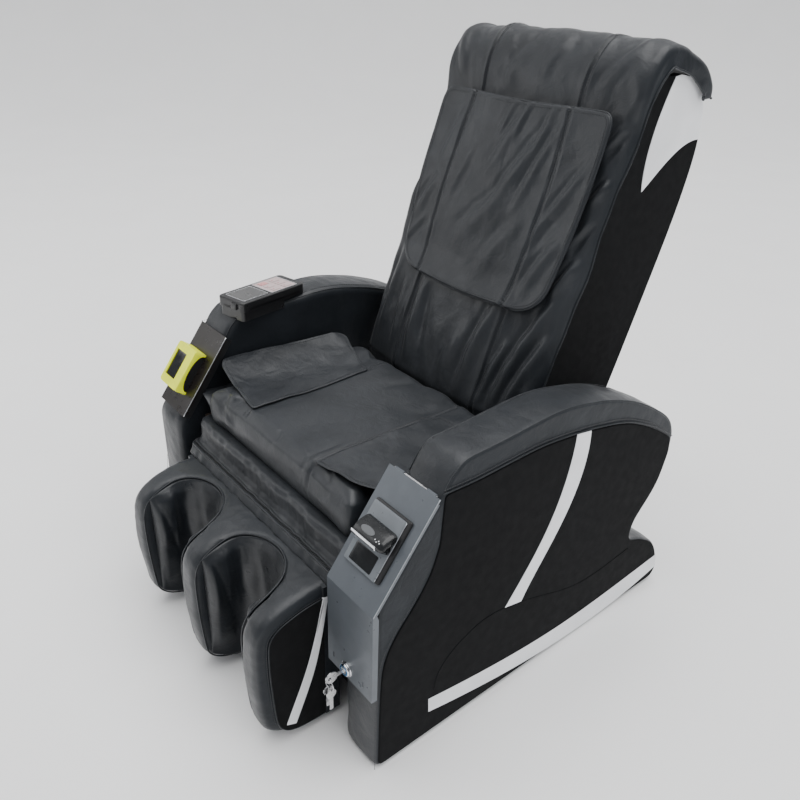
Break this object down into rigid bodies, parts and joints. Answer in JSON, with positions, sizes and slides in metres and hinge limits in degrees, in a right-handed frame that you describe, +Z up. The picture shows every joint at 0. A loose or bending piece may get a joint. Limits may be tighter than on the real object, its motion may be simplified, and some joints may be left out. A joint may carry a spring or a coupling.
{
  "type": "massage chair",
  "caption": "Upholstered massage chair with arm-mounted note cabinet, card reader and handset, reclining back with roller carriage, and lifting leg rest with calf wells.",
  "frame": {"origin": "on the floor, at the centre of the bounding box", "axes": "+X to the seated person's left, -Y out of the chair's front, +Z up"},
  "size_m": [0.76, 0.9944, 1.0935],
  "materials": {
    "leather_black": "soft black synthetic leather",
    "velvet_black": "matt black short-pile cloth",
    "leather_white": "white synthetic leather inlay",
    "steel_black": "black powder coat",
    "steel_grey": "dark grey powder coat",
    "steel_dark": "black satin paint",
    "plastic_black": "moulded black",
    "plastic_grey": "moulded grey",
    "plastic_yellow": "lime yellow",
    "screen_grey": "unlit display",
    "keypad_pink": "printed overlay",
    "key_red": "soft red",
    "chrome": "polished",
    "steel_bright": "nickel plated",
    "aluminium": "natural",
    "plywood": "birch ply",
    "rubber": "moulded"
  },
  "bodies": {
    "base": {"left_arm_pad": "leather_black", "right_arm_pad": "leather_black", "arm_side_panels": "velvet_black", "arm_stripes": "leather_white", "base_frame": "steel_black", "seat_frame": "steel_black", "seat_board": "plywood", "seat_cushion": "leather_black", "hip_flaps": "leather_black", "front_apron": "leather_black", "rear_bar": "steel_black", "rear_panel": "steel_black", "power_inlet": "plastic_black", "glide_feet": "rubber", "control_box": "plastic_grey", "air_pump": "plastic_grey", "recline_actuator": "plastic_black", "leg_actuator": "plastic_black", "cover_hinge": "steel_bright", "note_cassette": "aluminium", "reader_plate": "steel_dark", "card_reader": "plastic_black", "reader_bezel": "plastic_yellow", "remote_cradle": "plastic_black", "remote_case": "plastic_black", "remote_screen": "screen_grey", "keypad_overlay": "keypad_pink"},
    "backrest": {"back_pivot_shaft": "steel_black", "back_frame": "steel_black", "back_side_panels": "velvet_black", "back_wedges": "leather_white", "back_rear_shell": "velvet_black", "back_cushion": "leather_black", "head_flap": "leather_black", "top_drape": "leather_black", "guide_rods": "steel_bright"},
    "lead_screw": {"lead_screw": "steel_bright"},
    "carriage": {"massage_carriage": "aluminium", "kneading_motor": "plastic_grey"},
    "kneading_arms": {"kneading_arms": "steel_bright"},
    "upper_rollers": {"upper_rollers": "plastic_grey"},
    "lower_rollers": {"lower_rollers": "plastic_grey"},
    "leg_rest": {"leg_rest_frame": "leather_black", "leg_rest_fins": "leather_black", "calf_pads": "leather_black", "leg_stripes": "leather_white"},
    "recline_rod": {"recline_rod": "steel_bright"},
    "leg_rod": {"leg_rod": "steel_bright"},
    "cabinet_cover": {"cabinet_cover": "steel_grey", "validator_bezel": "plastic_black", "note_validator": "plastic_grey", "lock_barrel": "chrome"},
    "lock_plug": {"lock_plug_and_key": "steel_bright"},
    "key_ring": {"key_ring": "steel_bright"},
    "key_1": {"key_1": "key_red"},
    "key_2": {"key_2": "keypad_pink"},
    "key_3": {"key_3": "keypad_pink"},
    "key_4": {"key_4": "keypad_pink"},
    "key_5": {"key_5": "keypad_pink"},
    "key_6": {"key_6": "keypad_pink"}
  },
  "joints": [
    {"name": "recline", "type": "hinge", "parent": "base", "child": "backrest", "pos_m": [0, 0.13, 0.3], "axis": [-1, 0, 0], "range_deg": [0, 35]},
    {"name": "leg_lift", "type": "hinge", "parent": "base", "child": "leg_rest", "pos_m": [0, -0.332, 0.318], "axis": [-1, 0, 0], "range_deg": [0, 75]},
    {"name": "recline_push", "type": "slide", "parent": "base", "child": "recline_rod", "axis": [0, -1, 0], "range_m": [0, 0.05413]},
    {"name": "leg_push", "type": "slide", "parent": "base", "child": "leg_rod", "axis": [0, -1, 0], "range_m": [0, 0.07305]},
    {"name": "carriage_travel", "type": "slide", "parent": "backrest", "child": "carriage", "axis": [0, 0.342, 0.9397], "range_m": [0, 0.34]},
    {"name": "screw_spin", "type": "hinge", "parent": "backrest", "child": "lead_screw", "pos_m": [0, 0.19497, 0.42002], "axis": [0, 0.342, 0.9397], "range_deg": [0, 10201]},
    {"name": "knead", "type": "hinge", "parent": "carriage", "child": "kneading_arms", "pos_m": [0, 0.20226, 0.51314], "axis": [1, 0, 0], "range_deg": [-12, 12]},
    {"name": "upper_roll", "type": "hinge", "parent": "kneading_arms", "child": "upper_rollers", "pos_m": [0, 0.20082, 0.56475], "axis": [1, 0, 0], "continuous": true},
    {"name": "lower_roll", "type": "hinge", "parent": "kneading_arms", "child": "lower_rollers", "pos_m": [0, 0.16798, 0.47453], "axis": [1, 0, 0], "continuous": true},
    {"name": "cover_open", "type": "hinge", "parent": "base", "child": "cabinet_cover", "pos_m": [0.321, -0.24887, 0.51568], "axis": [-1, 0, 0], "range_deg": [0, 75]},
    {"name": "lock_turn", "type": "hinge", "parent": "cabinet_cover", "child": "lock_plug", "pos_m": [0.314, -0.38, 0.197], "axis": [0, -1, 0], "range_deg": [0, 90]},
    {"name": "key_ring_swing", "type": "hinge", "parent": "lock_plug", "child": "key_ring", "pos_m": [0.314, -0.406, 0.197], "axis": [1, 0, 0], "range_deg": [-25, 25]},
    {"name": "press_key_1", "type": "slide", "parent": "base", "child": "key_1", "axis": [0, 0, -1], "range_m": [0, 0.0008], "stiffness_N_per_m": 400, "springref_m": -0.0004},
    {"name": "press_key_2", "type": "slide", "parent": "base", "child": "key_2", "axis": [0, 0, -1], "range_m": [0, 0.0008], "stiffness_N_per_m": 400, "springref_m": -0.0004},
    {"name": "press_key_3", "type": "slide", "parent": "base", "child": "key_3", "axis": [0, 0, -1], "range_m": [0, 0.0008], "stiffness_N_per_m": 400, "springref_m": -0.0004},
    {"name": "press_key_4", "type": "slide", "parent": "base", "child": "key_4", "axis": [0, 0, -1], "range_m": [0, 0.0008], "stiffness_N_per_m": 400, "springref_m": -0.0004},
    {"name": "press_key_5", "type": "slide", "parent": "base", "child": "key_5", "axis": [0, 0, -1], "range_m": [0, 0.0008], "stiffness_N_per_m": 400, "springref_m": -0.0004},
    {"name": "press_key_6", "type": "slide", "parent": "base", "child": "key_6", "axis": [0, 0, -1], "range_m": [0, 0.0008], "stiffness_N_per_m": 400, "springref_m": -0.0004}
  ],
  "couplings": [
    {"joint": "recline_push", "follows": "recline", "m_per_rad": 0.088607},
    {"joint": "leg_push", "follows": "leg_lift", "m_per_rad": 0.055807},
    {"joint": "screw_spin", "follows": "carriage_travel", "rad_per_m": 523.6}
  ]
}
